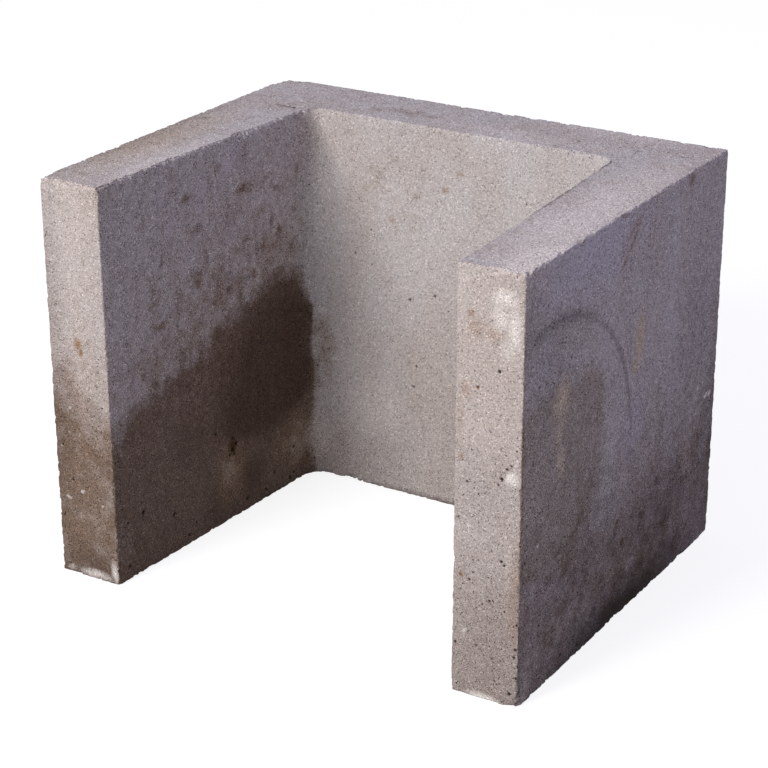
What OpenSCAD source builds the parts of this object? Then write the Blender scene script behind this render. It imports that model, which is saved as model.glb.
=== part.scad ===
// U-shaped concrete block, pressed in one piece in a steel mould box around a tapered core.
// It stands on its foot with the recess upright. The origin is the centre of its foot, +Z is up,
// the arms point along -Y and the back wall is on the +Y side. Sizes are in millimetres.

/* [Block] */
// Width over both arms
block_w = 500; // [400:5:800]
// Depth from the arm tips to the back face
block_d = 400; // [250:5:800]
// Height as the block stands
block_h = 400; // [150:5:600]

/* [Walls] */
// Back wall thickness, at the top
back_t = 80; // [50:1:120]
// Arm thickness where it leaves the back wall, at the top
arm_root_t = 79; // [64:1:120]
// Arm thickness at its tip, at the top
arm_tip_t = 63; // [40:1:78]

/* [Recess] */
// Radius of the two upright corners of the recess
recess_r = 20; // [5:1:60]
// Draft of the core, as the wall thickness that each recess face gains from the top to the foot
core_draft = 3; // [0:0.5:10]

/* [Edges] */
// Leg of the small bevel along every sharp edge
arris = 2; // [0.5:0.25:6]

/* [Hidden] */
concrete_grey = [0.68, 0.65, 0.62];
// Straight steps round each recess corner
corner_steps = 8;
// How far the core runs out past the faces that it opens
core_run_out = 5;
// Thickness of the thin slices that the core is lofted between
slice_t = 0.01;

front_y = -block_d / 2;
back_y = block_d / 2;
// Angle between an arm's outer and inner face, seen from above
arm_taper = atan((arm_root_t - arm_tip_t) / (block_d - back_t));

// What the draft has added to a wall at height z
function draft_at(z) = core_draft * (1 - z / block_h);

// Recess face of the back wall at height z
function recess_back_y(z) = back_y - back_t - draft_at(z);

// Half of the recess's width at depth y and height z, before its corners are rounded
function recess_half_w(y, z) = block_w / 2 - arm_tip_t - draft_at(z) - (y - front_y) * tan(arm_taper);

// Centre of the rounded recess corner on the +X side at height z, touching the arm and the back wall
function corner_y(z) = recess_back_y(z) - recess_r;
function corner_x(z) = recess_half_w(corner_y(z), z) - recess_r / cos(arm_taper);

// The +X half of the core's outline at height z, offset outwards by grow, from its open front to its back
function half_outline(z, grow) = concat(
    [[recess_half_w(front_y - core_run_out, z) + grow / cos(arm_taper), front_y - core_run_out]],
    [for (i = [0 : corner_steps])
        let (turn = arm_taper + (90 - arm_taper) * i / corner_steps)
        [corner_x(z) + (recess_r + grow) * cos(turn), corner_y(z) + (recess_r + grow) * sin(turn)]]
);

// The same points on the -X side, from the back to the open front
function mirrored(points) = [for (i = [len(points) - 1 : -1 : 0]) [-points[i].x, points[i].y]];

// Rectangle about its centre, with its four corners cut off by the arris
module bevelled_rectangle(w, h) {
    side_x = w / 2;
    side_y = h / 2;
    cut_x = side_x - arris;
    cut_y = side_y - arris;
    polygon([
        [side_x, cut_y], [cut_x, side_y], [-cut_x, side_y], [-side_x, cut_y],
        [-side_x, -cut_y], [-cut_x, -side_y], [cut_x, -side_y], [side_x, -cut_y]
    ]);
}

// Outside of the block, as the mould box leaves it, with all twelve edges bevelled
module blank() {
    translate([0, 0, block_h / 2]) intersection() {
        linear_extrude(block_h, center = true) bevelled_rectangle(block_w, block_d);
        rotate([90, 0, 0]) linear_extrude(block_d, center = true) bevelled_rectangle(block_w, block_h);
        rotate([90, 0, 90]) linear_extrude(block_w, center = true) bevelled_rectangle(block_d, block_h);
    }
}

// Thin level slice of the core, offset outwards by grow
module level_slice(z, grow = 0) {
    outline = half_outline(z, grow);
    translate([0, 0, z]) linear_extrude(slice_t, center = true) polygon(concat(outline, mirrored(outline)));
}

// Thin upright slice of the core from arm to arm, widened on each side by grow
module upright_slice(y, grow = 0) {
    low = -core_run_out;
    high = block_h + core_run_out;
    side = [[recess_half_w(y, low) + grow, low], [recess_half_w(y, high) + grow, high]];
    translate([0, y, 0]) rotate([90, 0, 0]) linear_extrude(slice_t, center = true)
        polygon(concat(side, mirrored(side)));
}

// The mould core: narrower at the foot, so that it draws out upwards, and wider at the arm tips
module core() {
    hull() {
        level_slice(-core_run_out);
        level_slice(block_h + core_run_out);
    }
}

// Bevel round the recess at its top or its foot: outwards is +1 at the top and -1 at the foot
module rim_bevel(z, outwards) {
    hull() {
        level_slice(z - outwards * arris);
        level_slice(z + outwards * core_run_out, arris + core_run_out);
    }
}

// Bevel along the inner upright edges of the two arm tips
module mouth_bevel() {
    hull() {
        upright_slice(front_y + arris);
        upright_slice(front_y - core_run_out, arris + core_run_out);
    }
}

module u_block() {
    color(concrete_grey) difference() {
        blank();
        core();
        rim_bevel(block_h, 1);
        rim_bevel(0, -1);
        mouth_bevel();
    }
}

u_block();
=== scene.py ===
# Looks of the U-shaped concrete block: its worn surface, its stains, the studio and the camera.
# Lengths are in metres unless a comment says millimetres, and the frame is the part's own.
import math
from itertools import combinations

import bmesh
import bpy
import numpy as np
from mathutils import Matrix, Quaternion, Vector, kdtree, noise


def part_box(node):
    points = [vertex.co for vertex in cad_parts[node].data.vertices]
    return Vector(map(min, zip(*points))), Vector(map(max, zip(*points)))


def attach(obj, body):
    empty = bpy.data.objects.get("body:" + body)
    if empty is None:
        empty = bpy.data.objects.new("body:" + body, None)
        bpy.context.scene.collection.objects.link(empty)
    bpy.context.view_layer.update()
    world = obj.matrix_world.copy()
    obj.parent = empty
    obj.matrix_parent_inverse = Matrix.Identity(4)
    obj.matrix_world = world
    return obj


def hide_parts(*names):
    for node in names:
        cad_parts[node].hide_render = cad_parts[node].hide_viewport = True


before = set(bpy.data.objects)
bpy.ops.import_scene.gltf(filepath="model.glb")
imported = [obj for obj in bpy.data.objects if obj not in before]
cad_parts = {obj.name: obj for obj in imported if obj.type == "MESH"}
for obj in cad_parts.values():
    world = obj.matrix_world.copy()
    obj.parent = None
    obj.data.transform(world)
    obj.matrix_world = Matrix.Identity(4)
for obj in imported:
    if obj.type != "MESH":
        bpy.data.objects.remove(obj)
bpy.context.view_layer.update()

# Vectors of noise are drawn from a seed, which is set so that each run draws the same
noise.seed_set(3)

MM = 0.001

# The block's outside comes from the frame, and its recess repeats the part's own sizes
FOOT_CORNER, TOP_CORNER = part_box("u_block")
BLOCK_W, BLOCK_D, BLOCK_H = TOP_CORNER - FOOT_CORNER
FRONT_Y = FOOT_CORNER.y
BACK_Y = TOP_CORNER.y
BACK_T = 80 * MM
ARM_ROOT_T = 79 * MM
ARM_TIP_T = 63 * MM
RECESS_R = 20 * MM
CORE_DRAFT = 3 * MM

# Mesh cells on the open faces, the bands along the edges in which they are halved, one after another,
# and the sizes that they are halved to round small marks and in blowholes. Cells are halved up to a
# margin round a mark, if they are wider than they should be, both measured in cells of the size wanted.
CELL = 8 * MM
EDGE_BANDS = (14 * MM, 7 * MM, 2.4 * MM)
MARK_CELLS = (4 * MM, 2 * MM)
HOLE_CELL = 1.2 * MM
MARK_MARGIN = 1.2
TOO_WIDE = 1.4
# Strength from which the ring mark has small cells, and the corner that counts as a point in a side
RING_SEEN = 0.01
STRAIGHT = math.radians(175)

# Crumbled edges: leg of the broken arris, size of the grains that break out singly, what these grains
# and wider dips add or leave, how deep chips go, how long dips and chips are, how much of the noise
# for chips is too weak to make one, and the least leg
ARRIS_LEG = 0.9 * MM
GRAIN = 4.5 * MM
GRAIN_CRUMBLE = 1.1 * MM
DIP_CRUMBLE = 0.8 * MM
CHIP_LEG = 5 * MM
DIP_LENGTH = 11 * MM
CHIP_LENGTH = 27 * MM
CHIP_START = 0.35
LEAST_LEG = 0.3 * MM
# How much of the broken arris the foot has, how much of the crumbling the foot, the top, the left
# arm's inner rim and the upright edges have, and how much more the upright edges have at the foot
FOOT_SHARE = 0.45
FOOT_CRUMBLE = 1.6
TOP_CRUMBLE = 1.9
LEFT_RIM_CRUMBLE = 0.5
UPRIGHT_CRUMBLE = 0.5
UPRIGHT_MORE = 1.6
# Depth of broken edge at which it looks fully worn
WORN_DEPTH = 2 * MM
# Grains have broken out of the left arm's inner rim and left steep bites: their length, how far in
# they go, how fast they run out downwards, how much of them the surface sinks, and where they end
BITE_LENGTH = 5.5 * MM
BITE = 6.5 * MM
BITE_SLOPE = 0.65
BITE_SINKS = 0.9
BITE_ZONE = 10 * MM
# Factor that parts the places of grains so far that each grain draws a number of its own
GRAIN_SPREAD = 9.7
# How near the top or the foot an edge counts as theirs, where the left arm ends towards the middle,
# and where its inner rim starts
EDGE_ZONE = 8 * MM
LEFT_ARM_END_X = -150 * MM
LEFT_RIM_START_X = -230 * MM
# How far the left arm was cast out of true: into the recess at the top of its tip and of its root,
# and away from it at the foot of its tip, and where along the arm each of the two ends starts
TIP_INWARDS = 3.2 * MM
ROOT_INWARDS = 5.2 * MM
TIP_OUTWARDS = 2.4 * MM
TIP_START_Y = -40 * MM
ROOT_START_Y = -120 * MM
ROOT_FULL_Y = 100 * MM
# Unevenness of the faces: height and length of wide waves and of short ripples
WAVE = 0.15 * MM
WAVE_LENGTH = 80 * MM
RIPPLE = 0.12 * MM
RIPPLE_LENGTH = 14 * MM
# How near a face a point counts as lying on it, and how near as being by it
ON_FACE = 0.1 * MM
BY_FACE = 30 * MM
# A point with its reach and the leg that wear has added there, in millimetres
WORN_SPOTS_MM = [
    ((-250, 200, 400), 25, 6),
    ((-250, -200, 400), 10, 2.4),
    ((-216, -200, 400), 36, 3),
    ((250, -200, 400), 13, 3.5),
    ((250, -200, 0), 14, 4),
    ((250, 200, 0), 9, 1.2),
    ((-250, 200, 0), 14, 3),
]

# Faces that marks are placed on: the axis that each is square to, which way it looks, and where it
# lies, in millimetres
FACES = {
    "left_tip": (1, -1, -200),
    "right_tip": (1, -1, -200),
    "left_inner": (0, 1, -179),
    "back_inner": (1, -1, 119),
    "right_side": (0, 1, 250),
    "top": (2, 1, 400),
}
# How far off its face's plane a mark still shows, in millimetres: less than the way to the next face
# that looks the same way
MARK_DEPTH_MM = 60

# Blowholes: how deep they are as a share of the radius, and how fast their painted shade grows from the
# rim
HOLE_DEPTH = 0.9
HOLE_DARKENS = 1.6
# Those that are big enough to see into: place on the face and radius, in millimetres
BLOWHOLES_MM = {
    "left_inner": [
        (-19, 88, 2), (-13, 80, 2.8), (-19, 75, 3.4), (-24, 71, 2.2), (-17, 70, 2), (-159, 62, 2.8),
        (-114, 41, 2.8), (-182, 60, 1.8), (-93, 10, 2.1), (-81, 19, 1.7), (-183, 14, 2), (-45, 102, 2),
        (26, 122, 1.6), (103, 204, 1.8), (82, 40, 2.2), (48, 24, 1.9), (81, 11, 2.1), (75, 7, 2.9),
        (2, 12, 2.6), (33, 10, 2.3),
    ],
    "left_tip": [
        (-242, 136, 1.6), (-232, 101, 1.4), (-245, 61, 1.4), (-201, 111, 1.2), (-194, 184, 1.2),
    ],
    "back_inner": [
        (-165, 15, 3), (-50, 217, 1.6), (-21, 226, 1.6), (-42, 146, 1.5), (-45, 123, 1.4),
        (-96, 283, 1.3), (-115, 255, 1.3),
    ],
    "right_tip": [
        (227, 312, 2), (207, 294, 1.4), (232, 139, 1.8), (235, 136, 1.6), (221, 98, 1.6),
        (236, 92, 1.4), (201, 114, 1.3), (214, 93, 1.3), (248, 82, 1.6), (247, 58, 1.8), (246, 50, 1.6),
        (242, 13, 2), (248, 30, 1.8), (188, 49, 1.6), (198, 206, 1.4), (209, 52, 1.3), (231, 216, 1.9),
        (236, 226, 1.6), (228, 210, 1.4), (240, 230, 1.4), (190, 171, 1.4),
    ],
    "right_side": [
        (-191, 138, 2), (-162, 65, 1.5), (-163, 55, 1.4), (-13, 88, 2), (20, 118, 1.8), (161, 331, 1.5),
        (31, 355, 1.3), (12, 359, 1.2), (-86, 8, 2.6), (-120, 14, 2), (-188, 172, 2), (-196, 15, 2.4),
    ],
    "top": [
        (223, 157, 2.4), (228, 158, 1.8), (-192, 111, 2.6), (-186, 113, 2.0), (180, 154, 1.8),
        (117, 154, 1.8),
    ],
}


def on(face, u, v, reach_u, reach_v, strength=1, turn=0):
    """A soft mark on a face, in millimetres along the face's two axes, and turned left by degrees."""
    square_to, way, level = FACES[face]
    flat = [axis for axis in range(3) if axis != square_to]
    lean = math.radians(turn)
    place = [u, v]
    place.insert(square_to, level)
    axes = np.zeros((3, 3))
    axes[0, flat] = math.cos(lean) / reach_u, math.sin(lean) / reach_u
    axes[1, flat] = -math.sin(lean) / reach_v, math.cos(lean) / reach_v
    axes[2, square_to] = 1 / MARK_DEPTH_MM
    looks = np.zeros(3)
    looks[square_to] = way
    return np.array(place), axes, looks, strength


def marks(rows_of_faces):
    """Soft marks that are listed face by face."""
    return [on(face, *row) for face, rows in rows_of_faces.items() for row in rows]


# How high damp has climbed the left arm, on its tip from left to right and on its inner face from the
# tip to the corner, and the line under which that corner has half dried again: place and height,
# in millimetres
DAMP_ON_TIP = [(-250, 226), (-222, 214), (-205, 199), (-186, 184)]
DAMP_ON_INNER = [
    (-200, 152), (-185, 148), (-165, 164), (-120, 176), (-100, 188), (-60, 190), (-46, 194), (-38, 208),
    (-20, 212), (5, 213), (35, 228), (75, 228), (102, 224), (120, 178),
]
HALF_DRY_LINE = [(-60, 100), (-40, 96), (-10, 86), (40, 71), (85, 80), (120, 112)]
# Where the damp ends on the back wall, and over what length, in the recess and outside
DAMP_END_X_MM = -150
DAMP_FADE_MM = 20
DAMP_FADE_OUTSIDE_MM = 100
# Height of the soft edges of damp and of dirt, how much of the inner face's damp the tip has, and how
# much of it is gone where it has half dried
TIP_DAMP_EDGE_MM = 130
INNER_DAMP_EDGE_MM = 60
HALF_DRY_EDGE_MM = 20
DIRT_EDGE_MM = 130
TIP_DAMP = 0.55
HALF_DRIED = 0.54
# The darkest damp starts behind a line that leans forwards at the foot: height and place on that line,
# and the length over which it starts
SOAKED_FRONT_MM = [(-100, -148), (500, 32)]
SOAKED_EDGE_MM = 80
# The left arm's inner face is mottled all over: how much, how much more round the damp, how far above
# it that ends, the height of that edge, how much of it damp hides, and how it changes along the arm
MOTTLED = 0.55
MOTTLED_MORE = 0.7
MOTTLED_RISE_MM = 62
MOTTLED_EDGE_MM = 130
MOTTLED_HIDDEN = 0.8
MOTTLED_ALONG_MM = [(-200, 0.3), (-130, 1), (40, 1), (110, 0.4)]
# How near the block's outside a point counts as outside, in millimetres
OUTSIDE_MM = 10
# Edges of wide stains wander: length of the waves and how far they go, in millimetres, and how much of
# that the edges of finer stains do
WANDER_MM = [(48, 9), (15, 5)]
WANDER_SHARE = {"tip_damp": 0.4, "inner_damp": 0.7, "brown_spot": 0.4, "ring": 0.2, "lime_dust_and_painted_light": 0.3}
# Shares of their reach over which marks fade
SOFT_EDGE = 0.9
HALF_DRY_MARK_EDGE = 0.8
RING_STAIN_EDGE = 0.35
RING_TOP_EDGE = 0.8
RING_RIGHT_EDGE = 0.6
# How much stronger the brown patches are than their own numbers say
BROWN_PATCH_GAIN = 1.3

# Marks, face by face: place and reach in millimetres, strength, and turn in degrees
HALF_DRY = marks({
    "left_inner": [
        (-24, 51, 40, 52, 1), (-18, 34, 16, 26, 0.8), (92, 46, 72, 52, 1, 8), (-139, 126, 4, 12, 1),
        (-195, 80, 44, 110, 0.75),
    ],
    "left_tip": [(-186, 90, 36, 130, 0.15)],
    "back_inner": [(-165, 40, 60, 88, 1.4)],
})
SOAKED = marks({
    "left_inner": [(12, 36, 36, 38, 0.8), (-58, 26, 28, 36, 0.5), (-78, 112, 70, 56, 0.38)],
})
# How high splashed dirt stands on the outer faces, from front to back
DIRT_LINE = [
    (-200, 138), (-110, 143), (-70, 166), (-30, 157), (10, 147), (60, 154), (105, 172), (140, 145),
    (200, 167),
]

BROWN_SPOTS = marks({
    "left_inner": [
        (-62, 271, 13, 16, 0.75), (-118, 243, 18, 7, 0.65), (-150, 229, 7, 7, 0.5),
        (-148, 203, 7, 11, 0.5), (-75, 356, 12, 12, 0.45), (10, 342, 22, 9, 0.6, 8),
        (-60, 322, 18, 9, 0.45), (50, 348, 11, 9, 0.4), (62, 330, 11, 9, 0.5), (-18, 247, 8, 7, 0.8),
        (24, 252, 10, 9, 0.6), (-2, 234, 10, 9, 0.6), (64, 285, 10, 12, 0.6), (38, 275, 11, 9, 0.5),
        (12, 290, 10, 8, 0.45), (-116, 305, 8, 9, 0.5), (90, 302, 10, 9, 0.4), (-40, 240, 8, 8, 0.5),
        (-140, 345, 4, 16, 0.35), (-45, 292, 7, 16, 0.5), (16, 268, 9, 12, 0.45), (52, 300, 8, 14, 0.5),
        (96, 340, 9, 14, 0.4), (-90, 225, 12, 8, 0.4), (-25, 272, 9, 8, 0.45), (84, 262, 12, 10, 0.4),
        (-128, 185, 12, 9, 0.4),
    ],
    "right_side": [
        (-15, 92, 8, 10, 0.9), (2, 74, 7, 7, 0.9), (-101, 398, 10, 9, 0.8), (-19, 398, 14, 10, 0.6),
        (122, 393, 13, 12, 0.6), (-12, 100, 6, 6, 0.8), (38, 88, 9, 7, 0.7), (70, 108, 9, 6, 0.7),
    ],
    "top": [
        (-70, 154, 55, 20, 0.35), (-42, 157, 18, 15, 0.35), (-100, 150, 30, 16, 0.3),
        (-192, 111, 10, 8, 0.5),
    ],
})
BROWN_PATCHES = marks({
    "left_inner": [(95, 250, 20, 24, 0.4)],
    "back_inner": [
        (-155, 330, 18, 54, 0.35), (-60, 230, 60, 50, 0.4), (-80, 330, 90, 70, 0.4),
        (-158, 148, 38, 70, 1), (-60, 300, 60, 40, 0.55), (-65, 362, 16, 12, 0.7),
        (-90, 348, 24, 15, 0.65), (-106, 312, 18, 17, 0.6), (-48, 338, 20, 15, 0.6),
        (-22, 347, 15, 12, 0.6), (-57, 384, 15, 11, 0.55), (-123, 374, 16, 22, 0.7),
    ],
    "right_side": [
        (-75, 155, 50, 44, 0.7), (-115, 108, 56, 38, 0.75, 30), (-60, 130, 30, 18, 0.5),
        (145, 115, 46, 42, 0.85), (135, 100, 46, 30, 0.8), (60, 100, 30, 22, 0.6),
        (-40, 50, 50, 22, 0.7), (75, 48, 66, 40, 0.9), (0, 55, 230, 70, 0.7), (30, 15, 190, 45, 0.95),
        (-130, 50, 60, 40, 0.75), (-199, 260, 5, 170, 0.8),
    ],
    "top": [(-225, 130, 40, 24, 0.5), (-246, -60, 30, 170, 0.7), (-222, -40, 60, 220, 0.45)],
})
RUST = marks({
    "left_tip": [
        (-217, 244, 8, 10, 0.8), (-214, 236, 4, 7, 1), (-188, 158, 3, 4, 0.5), (-203, 249, 5, 5, 0.35),
        (-188, 150, 9, 50, 0.35),
    ],
    "back_inner": [(-10, 339, 8, 7, 0.55), (6, 358, 7, 6, 0.45), (-72, 297, 10, 9, 0.35)],
    "left_inner": [
        (66, 287, 5, 4, 0.5), (-62, 266, 8, 6, 0.4), (-118, 242, 10, 4, 0.35), (-19, 80, 12, 14, 1),
        (-75, 356, 6, 6, 0.4),
    ],
    "right_tip": [
        (200, 358, 6, 8, 0.5), (206, 346, 14, 16, 0.34), (222, 344, 16, 16, 0.32),
        (196, 289, 12, 18, 0.34), (207, 294, 3, 3, 1), (193, 117, 4, 3, 1), (192, 228, 6, 8, 0.5),
        (190, 260, 8, 70, 0.3), (246, 110, 13, 90, 0.34),
    ],
    "right_side": [
        (0, 370, 38, 6, 0.5, 43), (-16, 355, 14, 7, 0.55, 43), (-4, 380, 24, 5, 0.4, 43),
        (10, 384, 24, 6, 0.4, 43), (-199, 220, 5, 150, 0.5),
    ],
})
PALE_STREAKS = marks({
    "right_side": [
        (22, 271, 18, 46, 0.95, -6), (14, 248, 16, 15, 0.85), (-130, 266, 26, 34, 0.85, -18),
        (-134, 236, 10, 26, 0.6, -8), (-129, 208, 14, 22, 0.8, 10), (-67, 132, 3, 6, 0.6, -30),
    ],
})
LIME = marks({
    "right_tip": [
        (232, 377, 19, 14, 0.85), (242, 352, 11, 34, 0.8), (229, 360, 14, 22, 0.65),
        (234, 332, 14, 18, 0.55), (241, 219, 10, 9, 1), (216, 2, 28, 7, 1), (200, 163, 4, 4, 0.6),
        (196, 63, 4, 3, 0.6), (225, 248, 4, 3, 0.5),
    ],
    "left_tip": [
        (-212, 4, 32, 9, 0.7), (-189, 12, 8, 22, 0.75), (-242, 5, 10, 7, 0.4), (-232, 176, 3, 3, 0.7),
        (-223, 90, 4, 3, 0.8), (-239, 81, 5, 3, 0.7), (-199, 83, 3, 2.4, 0.6), (-233, 150, 3, 2.4, 0.5),
        (-243, 136, 3, 3, 0.5),
    ],
    "back_inner": [
        (-8, 321, 4, 3, 0.8, -30), (-20, 297, 3, 5, 0.8, 30), (-156, 186, 16, 6, 0.5),
        (-77, 331, 3, 3, 0.7), (10, 352, 7, 2, 0.5, 20), (-73, 95, 2, 6, 0.6, 30),
    ],
    "right_side": [
        (179, 157, 7, 5, 1, 30), (187, 156, 6, 5, 1, -15), (158, 172, 5, 3, 0.7),
        (-168, 144, 4, 3, 0.9, 20), (188, 132, 3, 3, 0.6), (102, 322, 2, 4, 0.5),
    ],
})
# Pale dust on the top and clinging to the faces, and painted light in the left arm's shade on the back
# wall
DUST_AND_PAINTED_LIGHT = marks({
    "top": [
        (226, -40, 66, 300, 0.56), (244, -160, 60, 110, 0.72), (150, 196, 170, 44, 0.38),
        (60, 140, 200, 34, 0.36), (-190, -100, 24, 160, 0.44),
    ],
    "back_inner": [(-92, 90, 70, 70, 0.34), (-162, 305, 36, 85, 0.4), (-162, 45, 36, 55, 0.4)],
    "left_inner": [(-190, 40, 36, 60, 0.18)],
    "right_side": [(-188, 16, 28, 36, 0.27)],
})
# Earth that has warmed the left arm's top and the patches that have half dried
EARTH = marks({
    "top": [(-230, -70, 50, 230, 0.5)],
    "left_inner": [(-24, 51, 44, 56, 0.6), (92, 46, 76, 56, 0.6)],
})
# Painted cool light of the fill softbox: bluish patches on the dry faces that look to the right
PAINTED_COOL_LIGHT = marks({
    "right_side": [(-70, 385, 190, 76, 0.36), (15, 190, 44, 60, 0.28)],
    "left_inner": [
        (-55, 354, 16, 30, 0.36), (-26, 354, 13, 30, 0.36), (-70, 300, 18, 24, 0.32),
        (-110, 366, 20, 26, 0.3), (-165, 196, 15, 18, 0.36), (-100, 335, 17, 26, 0.3),
        (0, 374, 34, 24, 0.3), (-10, 310, 16, 24, 0.3),
    ],
})
# Dark grime, and painted shade: the thin bands at the foot of the recess's walls are painted shade
# low on the faces make them darker towards the foot.
# two thin lines on the right arm's top are the painted shade of its crumbled inner rim. The other marks
# where they meet the floor, the mark in the back wall's left corner is painted corner shade, and the
GRIME_AND_SHADE = marks({
    "right_side": [
        (0, 140, 420, 240, 0.1), (5, -14, 240, 76, 0.8), (95, 15, 60, 40, 0.42),
        (-150, 300, 90, 90, 0.2), (-105, 80, 76, 50, 0.16), (80, 75, 130, 80, 0.24),
        (150, 230, 110, 130, 0.2), (206, 150, 70, 230, 0.28), (-190, 330, 60, 90, 0.2),
    ],
    "left_inner": [
        (-40, 280, 800, 800, 0.18), (-19, 77, 9, 11, 0.7), (40, -4, 240, 14, 0.6),
        (0, 0, 240, 45, 0.25), (-10, 252, 110, 44, 0.24),
    ],
    "back_inner": [(-175, 180, 24, 110, 0.3), (0, -4, 200, 14, 0.6)],
    "right_tip": [(218, 0, 100, 280, 0.22), (218, 200, 90, 90, 0.15)],
    "left_tip": [(-266, 240, 60, 400, 0.3), (-220, 0, 70, 70, 0.3), (-186, 230, 60, 320, 0.11)],
    "top": [(180, -5, 1.8, 130, 0.7, 2.9), (173, 95, 2, 40, 0.9, 2.9), (-252, -70, 46, 210, 0.36)],
})
# Coarse, open texture with many pin pores
OPEN_TEXTURE = marks({
    "right_tip": [(218, 60, 60, 200, 0.85), (218, 200, 60, 120, 0.5), (218, 398, 60, 8, 0.7)],
    "right_side": [(-175, 130, 60, 110, 0.35), (-20, 20, 220, 60, 0.4)],
    "top": [(200, 165, 130, 70, 0.7), (40, 165, 300, 60, 0.4), (218, -40, 60, 200, 0.4)],
    "left_inner": [(0, 20, 200, 60, 0.4)],
    "left_tip": [(-218, 80, 50, 130, 0.3)],
})
# A bucket's ring on the right side, broad at its top and thin at its right, and the stain inside it
RING = on("right_side", -150, 183, 158, 158)
RING_TOP = on("right_side", -125, 335, 110, 60, 0.7)
RING_RIGHT = on("right_side", -25, 250, 130, 130, 0.66)
RING_TOP_WIDTH = 0.075
RING_RIGHT_WIDTH = 0.036
RING_STAIN = marks({"right_side": [(-150, 195, 130, 106), (-95, 235, 66, 60)]})


# The block's shape

def draft_at(z):
    """What the core's draft has added to a wall at height z."""
    return CORE_DRAFT * (1 - z / BLOCK_H)


def recess_back_y(z):
    """Recess face of the back wall at height z."""
    return BACK_Y - BACK_T - draft_at(z)


def recess_half_w(y, z):
    """Half of the recess's width at depth y and height z."""
    slope = (ARM_ROOT_T - ARM_TIP_T) / (BLOCK_D - BACK_T)
    return BLOCK_W / 2 - ARM_TIP_T - draft_at(z) - (y - FRONT_Y) * slope


def depths(p):
    """How deep a point lies below each face of the block, with the way into the block from that face."""
    back_y = recess_back_y(p.z)
    side = abs(p.x) - recess_half_w(min(p.y, back_y), p.z)
    behind = p.y - back_y
    corner = Vector((max(side + RECESS_R, 0), max(behind + RECESS_R, 0), 0))
    if corner.x > 0 and corner.y > 0:
        recess = corner.length - RECESS_R
        into = Vector((math.copysign(corner.x, p.x), corner.y, 0)).normalized()
    elif side > behind:
        recess = side
        into = Vector((math.copysign(1, p.x), 0, 0))
    else:
        recess = behind
        into = Vector((0, 1, 0))
    return [
        (p.x - FOOT_CORNER.x, Vector((1, 0, 0))),
        (TOP_CORNER.x - p.x, Vector((-1, 0, 0))),
        (p.y - FOOT_CORNER.y, Vector((0, 1, 0))),
        (TOP_CORNER.y - p.y, Vector((0, -1, 0))),
        (p.z - FOOT_CORNER.z, Vector((0, 0, 1))),
        (TOP_CORNER.z - p.z, Vector((0, 0, -1))),
        (recess, into),
    ]


def edge_distance(p):
    """How far a point on the surface is from the nearest outward edge."""
    return sorted(depth for depth, _ in depths(p))[1]


def block_grid():
    """The plain block: a U of grid cells, drawn up to its height and then set to the real faces."""
    arm = round((ARM_ROOT_T + ARM_TIP_T) / 2 / CELL)
    gap = round((BLOCK_W - ARM_ROOT_T - ARM_TIP_T) / CELL)
    deep = round((BLOCK_D - BACK_T) / CELL)
    back = round(BACK_T / CELL)
    high = round(BLOCK_H / CELL)
    across = 2 * arm + gap
    along = deep + back

    bm = bmesh.new()
    to_cells = Matrix.Diagonal((across / 2, along / 2, 1, 1)) @ Matrix.Translation((1, 1, 0))
    bmesh.ops.create_grid(bm, x_segments=across, y_segments=along, size=1, matrix=to_cells)
    open_cells = []
    for face in bm.faces:
        middle = face.calc_center_median()
        if arm < middle.x < arm + gap and middle.y < deep:
            open_cells.append(face)
    bmesh.ops.delete(bm, geom=open_cells, context="FACES")
    drawn = bmesh.ops.extrude_face_region(bm, geom=bm.faces[:])["geom"]
    raised = [item for item in drawn if isinstance(item, bmesh.types.BMVert)]
    bmesh.ops.translate(bm, verts=raised, vec=(0, 0, BLOCK_H))
    upright = [edge for edge in bm.edges if edge.verts[0].co.z != edge.verts[1].co.z]
    bmesh.ops.subdivide_edges(bm, edges=upright, cuts=high - 1, use_grid_fill=True)

    for vert in bm.verts:
        column, row, z = vert.co
        column = round(column)
        row = round(row)
        back_y = recess_back_y(z)
        if row <= deep:
            y = FRONT_Y + (back_y - FRONT_Y) * row / deep
        else:
            y = back_y + (BACK_Y - back_y) * (row - deep) / back
        half = recess_half_w(min(y, back_y), z)
        sideways = abs(column - across / 2) - gap / 2
        if sideways > 0:
            x = half + (BLOCK_W / 2 - half) * sideways / arm
        else:
            x = half * (sideways + gap / 2) / (gap / 2)
        on_recess = (sideways == 0 and row <= deep) or (sideways <= 0 and row == deep)
        out_x = x - (half - RECESS_R)
        out_y = y - (back_y - RECESS_R)
        if on_recess and out_x > 0 and out_y > 0:
            reach = math.hypot(out_x, out_y)
            x += out_x * (RECESS_R / reach - 1)
            y += out_y * (RECESS_R / reach - 1)
        vert.co = (math.copysign(x, column - across / 2), y, z)
    bmesh.ops.recalc_face_normals(bm, faces=bm.faces[:])
    return bm


def halve_cells(bm, wanted):
    """Halves the cells that are wanted, with three-sided cells where they meet coarser ones."""
    bm.edges.index_update()
    edges = {edge for face, chosen in zip(bm.faces, wanted) if chosen for edge in face.edges}
    ordered = sorted(edges, key=lambda edge: edge.index)
    bmesh.ops.subdivide_edges(bm, edges=ordered, cuts=1, use_grid_fill=True, use_single_edge=True)


# Wear

def blowholes():
    """The blowholes' places, as a tree for quick search, and their radii in the same order."""
    holes = [(face, *hole) for face, row in BLOWHOLES_MM.items() for hole in row]
    tree = kdtree.KDTree(len(holes))
    for index, (face, u, v, _) in enumerate(holes):
        place, *_ = on(face, u, v, 1, 1)
        p = Vector(place) * MM
        if face == "left_inner":
            p.x = -recess_half_w(p.y, p.z)
        if face == "back_inner":
            p.y = recess_back_y(p.z)
        tree.insert(p, index)
    tree.balance()
    return tree, [radius * MM for *_, radius in holes]


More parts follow.
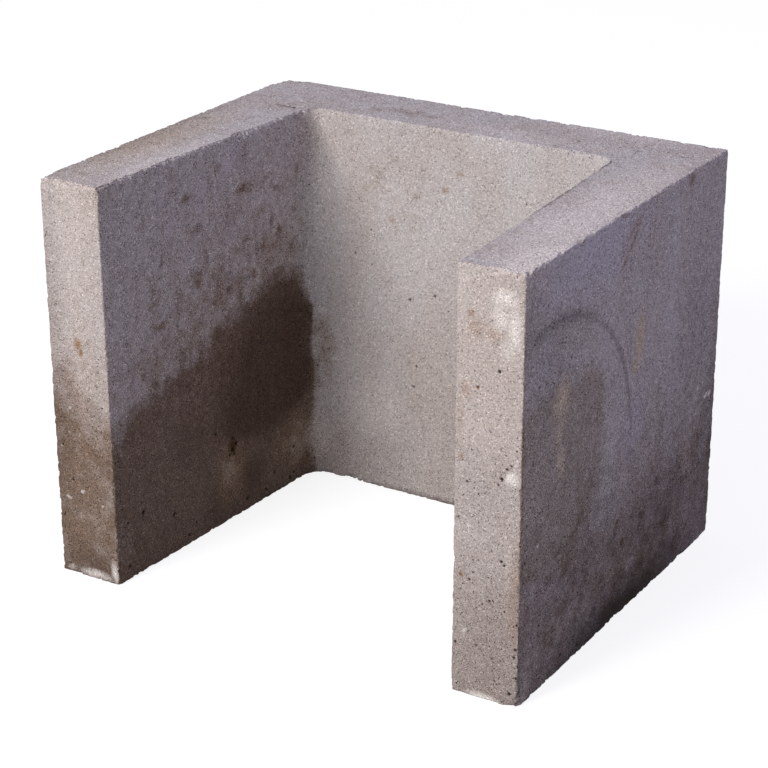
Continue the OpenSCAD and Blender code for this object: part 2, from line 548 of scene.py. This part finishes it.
def worn_leg(p):
    """How much of the edge has broken away at a point, as the leg of the cut."""
    on_top = p.z > BLOCK_H - EDGE_ZONE
    at_foot = p.z < EDGE_ZONE
    on_rim = on_top and LEFT_RIM_START_X < p.x < LEFT_ARM_END_X
    _, grains = noise.voronoi(p / GRAIN)
    crumble = GRAIN_CRUMBLE * noise.cell(grains[0] * GRAIN_SPREAD)
    crumble += DIP_CRUMBLE * noise.noise(p / DIP_LENGTH)
    if on_rim:
        crumble *= LEFT_RIM_CRUMBLE
    else:
        crumble += CHIP_LEG * max(0, noise.noise(p / CHIP_LENGTH) - CHIP_START)
        if on_top:
            crumble *= TOP_CRUMBLE
        elif not at_foot:
            crumble *= UPRIGHT_CRUMBLE * (1 + UPRIGHT_MORE * (1 - p.z / BLOCK_H))
    if at_foot:
        leg = ARRIS_LEG * FOOT_SHARE + crumble * FOOT_CRUMBLE
    else:
        leg = ARRIS_LEG + crumble
    for place, reach, extra in WORN_SPOTS_MM:
        away = (p / MM - Vector(place)).length / reach
        if away < 1:
            leg += extra * MM * (1 - away * away)
    return max(leg, LEAST_LEG)


def rim_bite(y):
    """How far the left arm's inner rim has broken back at depth y."""
    deep = 0
    for length, share in [(BITE_LENGTH, 0.65), (BITE_LENGTH * 0.45, 0.35)]:
        _, grains = noise.voronoi(Vector((0, y / length, 0)))
        deep += share * noise.cell(grains[0] * GRAIN_SPREAD) ** 2
    return BITE * deep


def ramp(value, start, full):
    """How far a value has come from a start to where it counts in full, as a share."""
    return min(max((value - start) / (full - start), 0), 1)


def out_of_true(p):
    """How far to the right a point of the left arm was cast out of true."""
    if p.x > LEFT_ARM_END_X:
        return 0
    near_tip = ramp(p.y, TIP_START_Y, FRONT_Y)
    near_root = ramp(p.y, ROOT_START_Y, ROOT_FULL_Y)
    near_root *= ramp(p.x, LEFT_ARM_END_X, LEFT_ARM_END_X - RECESS_R)
    inside = ramp(p.x, FOOT_CORNER.x, FOOT_CORNER.x + ARM_TIP_T)
    high = p.z / BLOCK_H
    inwards = (TIP_INWARDS * near_tip * high + ROOT_INWARDS * near_root * high ** 4) * inside
    outwards = TIP_OUTWARDS * near_tip * (1 - high) * (1 - inside)
    return inwards - outwards


def weather(bm):
    """Breaks the edges, roughens the faces and sinks the blowholes, and keeps how worn each point is."""
    worn = bm.verts.layers.float.new("worn_edge")
    hollow = bm.verts.layers.float.new("blowhole")
    tree, radii = blowholes()
    for vert in bm.verts:
        p = vert.co.copy()
        faces = depths(p)
        near = [(depth, into) for depth, into in faces if depth < BY_FACE]
        move = Vector()
        if len(near) > 1:
            leg = worn_leg(p)
            for (depth_a, into_a), (depth_b, into_b) in combinations(near, 2):
                cut = leg - depth_a - depth_b
                if cut > 0:
                    move += (into_a + into_b) * cut / 2
                    vert[worn] = max(vert[worn], min(cut / WORN_DEPTH, 1))
        below_top = faces[5][0]
        into_recess_wall, into = faces[6]
        if p.x < LEFT_ARM_END_X and max(below_top, into_recess_wall) < BITE_ZONE:
            bite = rim_bite(p.y) - into_recess_wall - BITE_SLOPE * below_top
            move += into * BITE_SINKS * max(bite, 0)
        uneven = WAVE * (1 + noise.noise(p / WAVE_LENGTH)) + RIPPLE * noise.noise(p / RIPPLE_LENGTH)
        for depth, into in near:
            if depth < ON_FACE:
                move += into * max(uneven, 0)
        _, index, away = tree.find(p)
        if away < radii[index]:
            share = 1 - (away / radii[index]) ** 2
            _, into = min(near, key=lambda item: item[0])
            move += into * HOLE_DEPTH * radii[index] * share
            # How strongly shade is painted into the blowhole here
            vert[hollow] = min(HOLE_DARKENS * share, 1)
        move.x += out_of_true(p)
        vert.co = p + move


# Stains, and painted light and shade

def strength_at(points, normals, spots, edge):
    """How strongly marks show at points, fading over the outer share of their reach that edge gives."""
    total = np.zeros(len(points))
    for place, axes, looks, strength in spots:
        away = np.linalg.norm((points - place) @ axes.T, axis=1)
        share = np.clip((1 - away) / edge, 0, 1)
        facing = np.clip(normals @ looks, 0, 1)
        total = np.maximum(total, strength * facing * share * share * (3 - 2 * share))
    return total


def touched(points, normals, spots, margin):
    """Which points lie on marks, or within a margin round them in millimetres."""
    near = np.zeros(len(points), bool)
    for place, axes, looks, _ in spots:
        wider = 1 + margin * np.linalg.norm(axes, axis=1)
        away = np.linalg.norm((points - place) @ axes.T / wider, axis=1)
        near |= (away < 1) & (normals @ looks > 0.5)
    return near


def below(line, points, along, soft):
    """How far points lie below a line of heights along an axis, as a share of its soft edge."""
    heights = np.interp(points[:, along], *zip(*line))
    return np.clip((heights - points[:, 2]) / soft + 0.5, 0, 1)


def ring_strength(points, normals):
    """The ring mark at points."""
    place, axes, _, _ = RING
    away = np.abs(np.linalg.norm((points - place) @ axes.T, axis=1) - 1)
    top = np.clip(1 - away / RING_TOP_WIDTH, 0, 1)
    top *= strength_at(points, normals, [RING_TOP], RING_TOP_EDGE)
    right = np.clip(1 - away / RING_RIGHT_WIDTH, 0, 1)
    right *= strength_at(points, normals, [RING_RIGHT], RING_RIGHT_EDGE)
    return np.maximum(top, right)


def stain(mesh):
    """Keeps on each mesh point how strongly every stain, and all painted light and shade, shows there."""
    points = np.empty(len(mesh.vertices) * 3)
    normals = np.empty(len(mesh.vertices) * 3)
    mesh.vertices.foreach_get("co", points)
    mesh.vertex_normals.foreach_get("vector", normals)
    points = points.reshape(-1, 3) / MM
    normals = normals.reshape(-1, 3)
    wander = sum(
        np.array([noise.noise_vector(Vector(p) / length) for p in points]) * reach
        for length, reach in WANDER_MM
    )
    ragged = points + wander
    partly = {name: points + wander * share for name, share in WANDER_SHARE.items()}

    half_dry = strength_at(ragged, normals, HALF_DRY, HALF_DRY_MARK_EDGE)
    # The arm's tip has soaked up less than its inner face
    tip_damp = below(DAMP_ON_TIP, partly["tip_damp"], 0, TIP_DAMP_EDGE_MM) * TIP_DAMP
    inner_damp = below(DAMP_ON_INNER, partly["inner_damp"], 1, INNER_DAMP_EDGE_MM)
    # The damp ends within the recess's corner, and fades out slowly round the back
    fading = np.where(normals[:, 1] > 0.5, DAMP_FADE_OUTSIDE_MM, DAMP_FADE_MM)
    damp = np.where(normals[:, 1] < -0.7, tip_damp, inner_damp)
    damp *= np.clip((DAMP_END_X_MM - ragged[:, 0]) / fading, 0, 1)
    # The darkest damp lies towards the corner
    soaked = damp * (1 - below(HALF_DRY_LINE, ragged, 1, HALF_DRY_EDGE_MM))
    front = np.interp(ragged[:, 2], *zip(*SOAKED_FRONT_MM))
    soaked *= np.clip((ragged[:, 1] - front) / SOAKED_EDGE_MM, 0, 1)
    # The left arm's inner face is mottled, most above the damp and least at its tip and root
    mottled_line = [(place, height + MOTTLED_RISE_MM) for place, height in DAMP_ON_INNER]
    mottled = MOTTLED + MOTTLED_MORE * below(mottled_line, ragged, 1, MOTTLED_EDGE_MM)
    mottled *= 1 - MOTTLED_HIDDEN * damp
    mottled *= np.clip(normals[:, 0], 0, 1) * (points[:, 0] < LEFT_ARM_END_X / MM)
    mottled *= np.interp(points[:, 1], *zip(*MOTTLED_ALONG_MM))
    # Dirt lies on the outer sides and on the back
    sideways = np.abs(normals[:, 0]) * (np.abs(points[:, 0]) > BLOCK_W / 2 / MM - OUTSIDE_MM)
    backwards = np.clip(normals[:, 1], 0, 1) * (points[:, 1] > BACK_Y / MM - OUTSIDE_MM)
    brown_patches = strength_at(ragged, normals, BROWN_PATCHES, SOFT_EDGE)
    kept = {
        "damp": damp * (1 - HALF_DRIED * half_dry),
        "soaked": np.maximum(soaked, strength_at(ragged, normals, SOAKED, SOFT_EDGE)),
        "brown": np.maximum(brown_patches * BROWN_PATCH_GAIN, mottled),
        "brown_spot": strength_at(partly["brown_spot"], normals, BROWN_SPOTS, SOFT_EDGE),
        "painted_cool_light": strength_at(ragged, normals, PAINTED_COOL_LIGHT, SOFT_EDGE),
        "dirt": below(DIRT_LINE, ragged, 1, DIRT_EDGE_MM) * np.maximum(sideways, backwards),
        "grime_and_shade": strength_at(points, normals, GRIME_AND_SHADE, SOFT_EDGE),
        "open_texture": strength_at(ragged, normals, OPEN_TEXTURE, SOFT_EDGE),
        "ring_stain": strength_at(ragged, normals, RING_STAIN, RING_STAIN_EDGE),
        "ring": ring_strength(partly["ring"], normals),
        "rust": strength_at(points, normals, RUST, SOFT_EDGE),
        "pale_streak": strength_at(points, normals, PALE_STREAKS + EARTH, SOFT_EDGE),
        "lime_dust_and_painted_light": strength_at(partly["lime_dust_and_painted_light"], normals, LIME + DUST_AND_PAINTED_LIGHT, SOFT_EDGE),
        "coarse": 1 - np.abs(normals[:, 1]),
    }
    for name, values in kept.items():
        layer = mesh.attributes.new(name, "FLOAT", "POINT")
        layer.data.foreach_set("value", values.astype(np.float32))


def worn_block():
    """The block that the eye sees, in one closed mesh."""
    bm = block_grid()
    for band in EDGE_BANDS:
        halve_cells(bm, [edge_distance(face.calc_center_median()) < band for face in bm.faces])
    holes = [
        on(face, u, v, radius, radius)
        for face, row in BLOWHOLES_MM.items() for u, v, radius in row
    ]
    small = holes + RUST + PALE_STREAKS + LIME + BROWN_SPOTS
    for cell, spots in [(MARK_CELLS[0], small), (MARK_CELLS[1], small), (HOLE_CELL, holes)]:
        middles = np.array([face.calc_center_median() for face in bm.faces]) / MM
        normals = np.array([face.normal for face in bm.faces])
        marked = touched(middles, normals, spots, MARK_MARGIN * cell / MM)
        if spots is small:
            marked |= ring_strength(middles, normals) > RING_SEEN
        widths = [max(edge.calc_length() for edge in face.edges) for face in bm.faces]
        halve_cells(bm, marked & (np.array(widths) > cell * TOO_WIDE))
    # Cells with a point along one side are cut from that point, so that no cut lies along the side
    pointed = [
        face for face in bm.faces if max(loop.calc_angle() for loop in face.loops) > STRAIGHT
    ]
    bmesh.ops.triangulate(bm, faces=pointed, quad_method="BEAUTY", ngon_method="BEAUTY")
    weather(bm)
    for face in bm.faces:
        face.smooth = True
    mesh = bpy.data.meshes.new("u_block_worn")
    bm.to_mesh(mesh)
    bm.free()
    stain(mesh)
    block = bpy.data.objects.new("u_block_worn", mesh)
    bpy.context.scene.collection.objects.link(block)
    return block


# Materials

# Sand grains, and the cells that hold at most one pin pore or one piece of pale grit
SAND = 0.75 * MM
PORE_CELL = 5 * MM
GRIT_CELL = 17 * MM


def linear(hex_colour):
    """An sRGB hex colour as linear red, green, blue and alpha."""
    parts = [int(hex_colour[i:i + 2], 16) / 255 for i in (1, 3, 5)]
    return [c / 12.92 if c <= 0.04045 else ((c + 0.055) / 1.055) ** 2.4 for c in parts] + [1]


def add(tree, kind, inputs, **settings):
    """Adds a node with its settings, and feeds its sockets with values or with other nodes' outputs."""
    made = tree.nodes.new(kind)
    for name, value in settings.items():
        setattr(made, name, value)
    for socket, value in inputs.items():
        if isinstance(value, bpy.types.NodeSocket):
            tree.links.new(value, made.inputs[socket])
        else:
            made.inputs[socket].default_value = value
    return made


def new_material(name):
    """An empty node material, with its tree and its output."""
    material = bpy.data.materials.new(name)
    material.use_nodes = True
    tree = material.node_tree
    tree.nodes.clear()
    return material, tree, tree.nodes.new("ShaderNodeOutputMaterial")


def pressed_concrete():
    """Pressed concrete: sandy grain, pin pores and pale grit, under damp, dirt, rust and lime."""
    material, tree, output = new_material("weathered_pressed_concrete")
    coords = add(tree, "ShaderNodeTexCoord", {}).outputs["Object"]
    places = add(tree, "ShaderNodeSeparateXYZ", {0: coords}).outputs

    # Clouds of paler and browner cement, drawn out by rain, and the blotches, mottles and flecks that
    # fray the stains
    streaky = add(tree, "ShaderNodeMapping", {"Vector": coords, "Scale": (1, 1, 0.5)}).outputs[0]
    clouds, blotches, mottles, flecks = [
        add(tree, "ShaderNodeTexNoise", {
            "Vector": vector, "Scale": 1 / (size * MM), "Detail": detail, "Roughness": 0.6,
        }).outputs["Fac"]
        for vector, size, detail in [(streaky, 70, 2), (coords, 20, 3), (coords, 9, 4), (coords, 4, 2)]
    ]
    # Sand grains of under 1 mm, each of its own tone
    sand = add(tree, "ShaderNodeTexVoronoi", {"Vector": coords, "Scale": 1 / SAND}).outputs
    tone = add(tree, "ShaderNodeSeparateXYZ", {0: sand["Color"]}).outputs["X"]
    # Faces darken a little towards the foot, and painted warm light of the key softbox tints the arm tips
    foot = add(tree, "ShaderNodeMapRange", {
        "Value": places["Z"], "From Min": 250 * MM, "From Max": 0}).outputs[0]
    tips = add(tree, "ShaderNodeMapRange", {
        "Value": places["Y"], "From Min": FRONT_Y + 6 * MM, "From Max": FRONT_Y + 2 * MM}).outputs[0]

    # How each stain frays: the noise that is added to it, that noise's share, and where the stain
    # starts and is full
    frayed = {}
    for name, texture, share, start, full in [
        ("ring_stain", mottles, 0.5, 0.35, 1.1),
        ("ring", flecks, 0.4, 0.3, 1.1),
        ("dirt", blotches, 1.2, 0.9, 1.8),
        ("grime_and_shade", mottles, 0.2, 0.15, 0.75),
        ("brown", blotches, 2.2, 1.65, 2.6),
        ("brown_spot", mottles, 0.5, 0.38, 0.9),
        ("painted_cool_light", flecks, 0.4, 0.3, 1.1),
        ("pale_streak", flecks, 0.4, 0.3, 1.1),
        ("rust", flecks, 0.4, 0.3, 1.0),
        ("damp", blotches, 0.6, 0.5, 0.85),
        ("soaked", flecks, 0.4, 0.3, 1.1),
        ("lime_dust_and_painted_light", flecks, 0.5, 0.38, 1.1),
    ]:
        spread = add(tree, "ShaderNodeAttribute", {}, attribute_name=name).outputs["Fac"]
        summed = add(tree, "ShaderNodeMath", {
            0: texture, 1: share, 2: spread}, operation="MULTIPLY_ADD").outputs[0]
        frayed[name] = add(tree, "ShaderNodeMapRange", {
            "Value": summed, "From Min": start, "From Max": full}).outputs[0]
    cloudy = add(tree, "ShaderNodeMapRange", {
        "Value": clouds, "From Min": 0.42, "From Max": 0.62}).outputs[0]
    # The arm tips and the back wall are smoother than the other faces
    coarse = add(tree, "ShaderNodeAttribute", {}, attribute_name="coarse").outputs["Fac"]
    uneven_share = add(tree, "ShaderNodeMapRange", {
        "Value": coarse, "To Min": 0.3, "To Max": 1}).outputs[0]
    patchy = add(tree, "ShaderNodeMapRange", {
        "Value": mottles, "From Min": 0.42, "From Max": 0.65, "To Max": uneven_share}).outputs[0]

    # Pin pores, a few of them in each square centimetre of open texture
    open_share = add(tree, "ShaderNodeAttribute", {}, attribute_name="open_texture").outputs["Fac"]
    worn = add(tree, "ShaderNodeAttribute", {}, attribute_name="worn_edge").outputs["Fac"]
    crumbly = add(tree, "ShaderNodeMath", {0: worn, 1: 0.3, 2: open_share}, operation="MULTIPLY_ADD")
    closed_share = add(tree, "ShaderNodeMath", {0: 0.95, 1: crumbly.outputs[0]}, operation="SUBTRACT")
    pore = add(tree, "ShaderNodeTexVoronoi", {"Vector": coords, "Scale": 1 / PORE_CELL})
    chance = add(tree, "ShaderNodeSeparateXYZ", {0: pore.outputs["Color"]})
    pore_size = add(tree, "ShaderNodeMapRange", {
        "Value": chance.outputs["X"], "From Min": closed_share.outputs[0], "From Max": 1, "To Max": 0.22})
    pores = add(tree, "ShaderNodeMapRange", {
        "Value": pore.outputs["Distance"], "From Min": pore_size.outputs[0], "From Max": 0, "To Max": 3})
    hollow = add(tree, "ShaderNodeAttribute", {}, attribute_name="blowhole").outputs["Fac"]
    holes = add(tree, "ShaderNodeMath", {0: pores.outputs[0], 1: hollow}, operation="MAXIMUM").outputs[0]
    # Pale grit, one in a few square centimetres
    grit = add(tree, "ShaderNodeTexVoronoi", {"Vector": coords, "Scale": 1 / GRIT_CELL})
    specks = add(tree, "ShaderNodeMapRange", {
        "Value": grit.outputs["Distance"], "From Min": 0.08, "From Max": 0.04, "To Max": 0.4}).outputs[0]

    colour = linear("#c1bbb9")
    for blend, mask, tint in [
        ("MULTIPLY", cloudy, "#f7f3f0"),
        ("MULTIPLY", patchy, "#f2efec"),
        # Painted warm light on the arm tips
        ("MULTIPLY", tips, "#fffaf6"),
        ("MULTIPLY", foot, "#ebe7e4"),
        ("MULTIPLY", frayed["dirt"], "#b8b0aa"),
        ("MULTIPLY", frayed["ring_stain"], "#dfdad1"),
        ("MULTIPLY", frayed["ring"], "#b4b1b3"),
        # Grime, and painted shade in a corner, along the recess's foot and on the right rim
        ("MULTIPLY", frayed["grime_and_shade"], "#827c7d"),
        # Painted cool light
        ("MIX", frayed["painted_cool_light"], "#bdb6ca"),
        ("MULTIPLY", frayed["brown"], "#d2c5b5"),
        ("MULTIPLY", frayed["brown_spot"], "#c9bdb0"),
        ("MIX", frayed["pale_streak"], "#c3b29e"),
        ("MIX", specks, "#dfd9d4"),
        ("MULTIPLY", frayed["rust"], "#cbab86"),
        ("MULTIPLY", frayed["damp"], "#ad9d8e"),
        ("MULTIPLY", frayed["soaked"], "#c0b7af"),
        # Lime and dust, and painted light on the back wall's left part
        ("MIX", frayed["lime_dust_and_painted_light"], "#dfd7d0"),
        # Painted shade in the pin pores and blowholes
        ("MULTIPLY", holes, "#5a514b"),
    ]:
        mixed = add(tree, "ShaderNodeMix", {
            0: mask, 6: colour, 7: linear(tint)}, data_type="RGBA", blend_type=blend)
        colour = mixed.outputs[2]
    # Few grains are much paler or darker than the rest, and they stand out most in dark concrete
    light = add(tree, "ShaderNodeRGBToBW", {0: colour}).outputs[0]
    contrast = add(tree, "ShaderNodeMapRange", {
        "Value": light, "From Min": 0.05, "From Max": 0.5, "To Min": 1.55, "To Max": 0.8}).outputs[0]
    coarser = add(tree, "ShaderNodeMath", {
        0: coarse, 1: 0.4, 2: 1}, operation="MULTIPLY_ADD").outputs[0]
    contrast = add(tree, "ShaderNodeMath", {0: contrast, 1: coarser}, operation="MULTIPLY").outputs[0]
    uneven = add(tree, "ShaderNodeMath", {0: tone, 1: 2, 2: -1}, operation="MULTIPLY_ADD").outputs[0]
    sparse = add(tree, "ShaderNodeMath", {0: uneven, 1: 5}, operation="POWER").outputs[0]
    grains = add(tree, "ShaderNodeMath", {
        0: sparse, 1: contrast, 2: 1}, operation="MULTIPLY_ADD").outputs[0]
    sandy = add(tree, "ShaderNodeVectorMath", {0: colour, "Scale": grains}, operation="SCALE")

    # Pores and the gaps between grains lie a little deeper, and damp concrete is a little less matt
    relief = add(tree, "ShaderNodeMath", {
        0: pores.outputs[0], 1: 1.5, 2: sand["Distance"]}, operation="MULTIPLY_ADD")
    bump = add(tree, "ShaderNodeBump", {
        "Height": relief.outputs[0], "Distance": 0.5 * MM, "Strength": 0.1}, invert=True)
    roughness = add(tree, "ShaderNodeMapRange", {"Value": frayed["damp"], "To Min": 0.95, "To Max": 0.8})
    surface = add(tree, "ShaderNodeBsdfPrincipled", {
        "Base Color": sandy.outputs[0], "Roughness": roughness.outputs[0], "Specular IOR Level": 0.2,
        "Normal": bump.outputs[0]})
    tree.links.new(surface.outputs["BSDF"], output.inputs["Surface"])
    return material


# Studio

def studio():
    """A white floor and sky, with a large warm softbox at the front left and a dim cool one behind."""
    bm = bmesh.new()
    bmesh.ops.create_grid(bm, x_segments=1, y_segments=1, size=8)
    mesh = bpy.data.meshes.new("floor")
    bm.to_mesh(mesh)
    bm.free()
    floor = bpy.data.objects.new("floor", mesh)
    bpy.context.scene.collection.objects.link(floor)
    # Matt grey paper that glows up to white to the eye alone, so that it keeps the block's shadow
    material, tree, output = new_material("white_studio_floor")
    path = add(tree, "ShaderNodeLightPath", {}).outputs
    seen = add(tree, "ShaderNodeMath", {
        0: path["Is Camera Ray"], 1: path["Is Glossy Ray"]}, operation="MAXIMUM")
    seen = add(tree, "ShaderNodeMath", {
        0: seen.outputs[0], 1: path["Is Transmission Ray"]}, operation="MAXIMUM")
    glow = add(tree, "ShaderNodeMath", {0: seen.outputs[0], 1: 0.82}, operation="MULTIPLY")
    shine = add(tree, "ShaderNodeEmission", {"Strength": glow.outputs[0]})
    matt = add(tree, "ShaderNodeBsdfDiffuse", {"Color": linear("#a0a0a0")})
    both = add(tree, "ShaderNodeAddShader", {0: shine.outputs[0], 1: matt.outputs[0]})
    tree.links.new(both.outputs[0], output.inputs["Surface"])
    mesh.materials.append(material)

    world = bpy.data.worlds.new("studio")
    bpy.context.scene.world = world
    world.use_nodes = True
    tree = world.node_tree
    tree.nodes.clear()
    path = add(tree, "ShaderNodeLightPath", {})
    tint = add(tree, "ShaderNodeMix", {
        0: path.outputs["Is Camera Ray"], 6: linear("#9fa0ae"), 7: linear("#ffffff")}, data_type="RGBA")
    sky = add(tree, "ShaderNodeBackground", {"Color": tint.outputs[2], "Strength": 1})
    add(tree, "ShaderNodeOutputWorld", {"Surface": sky.outputs[0]})

    for name, place, size, power, tint in [
        ("key_softbox", (-0.98, -3.4, 2.1), 1.4, 127, "#fffcf9"),
        ("fill_softbox", (2.6, 1.0, 3.2), 2.0, 17, "#d2b4ff"),
    ]:
        lamp = bpy.data.lights.new(name, "AREA")
        lamp.shape = "SQUARE"
        lamp.size = size
        lamp.energy = power
        lamp.color = linear(tint)[:3]
        softbox = bpy.data.objects.new(name, lamp)
        softbox.location = place
        softbox.rotation_mode = "QUATERNION"
        middle = Vector((0, 0, BLOCK_H / 2))
        softbox.rotation_quaternion = (middle - softbox.location).to_track_quat("-Z", "Y")
        bpy.context.scene.collection.objects.link(softbox)


def camera():
    """The camera that was fitted to the block's edges in the photo."""
    data = bpy.data.cameras.new("camera")
    data.lens = 102.28
    data.sensor_width = 36
    cam = bpy.data.objects.new("camera", data)
    cam.location = (1.01139, -1.64358, 0.99847)
    aim = Vector((-0.00138, -0.0099, 0.1821))
    cam.rotation_mode = "QUATERNION"
    level = (aim - cam.location).to_track_quat("-Z", "Y")
    cam.rotation_quaternion = level @ Quaternion((0, 0, 1), math.radians(-0.2676))
    bpy.context.scene.collection.objects.link(cam)
    bpy.context.scene.camera = cam


bpy.context.scene.view_settings.view_transform = "Standard"
camera()
studio()
block = worn_block()
block.data.materials.append(pressed_concrete())
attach(block, "root")
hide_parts("u_block")
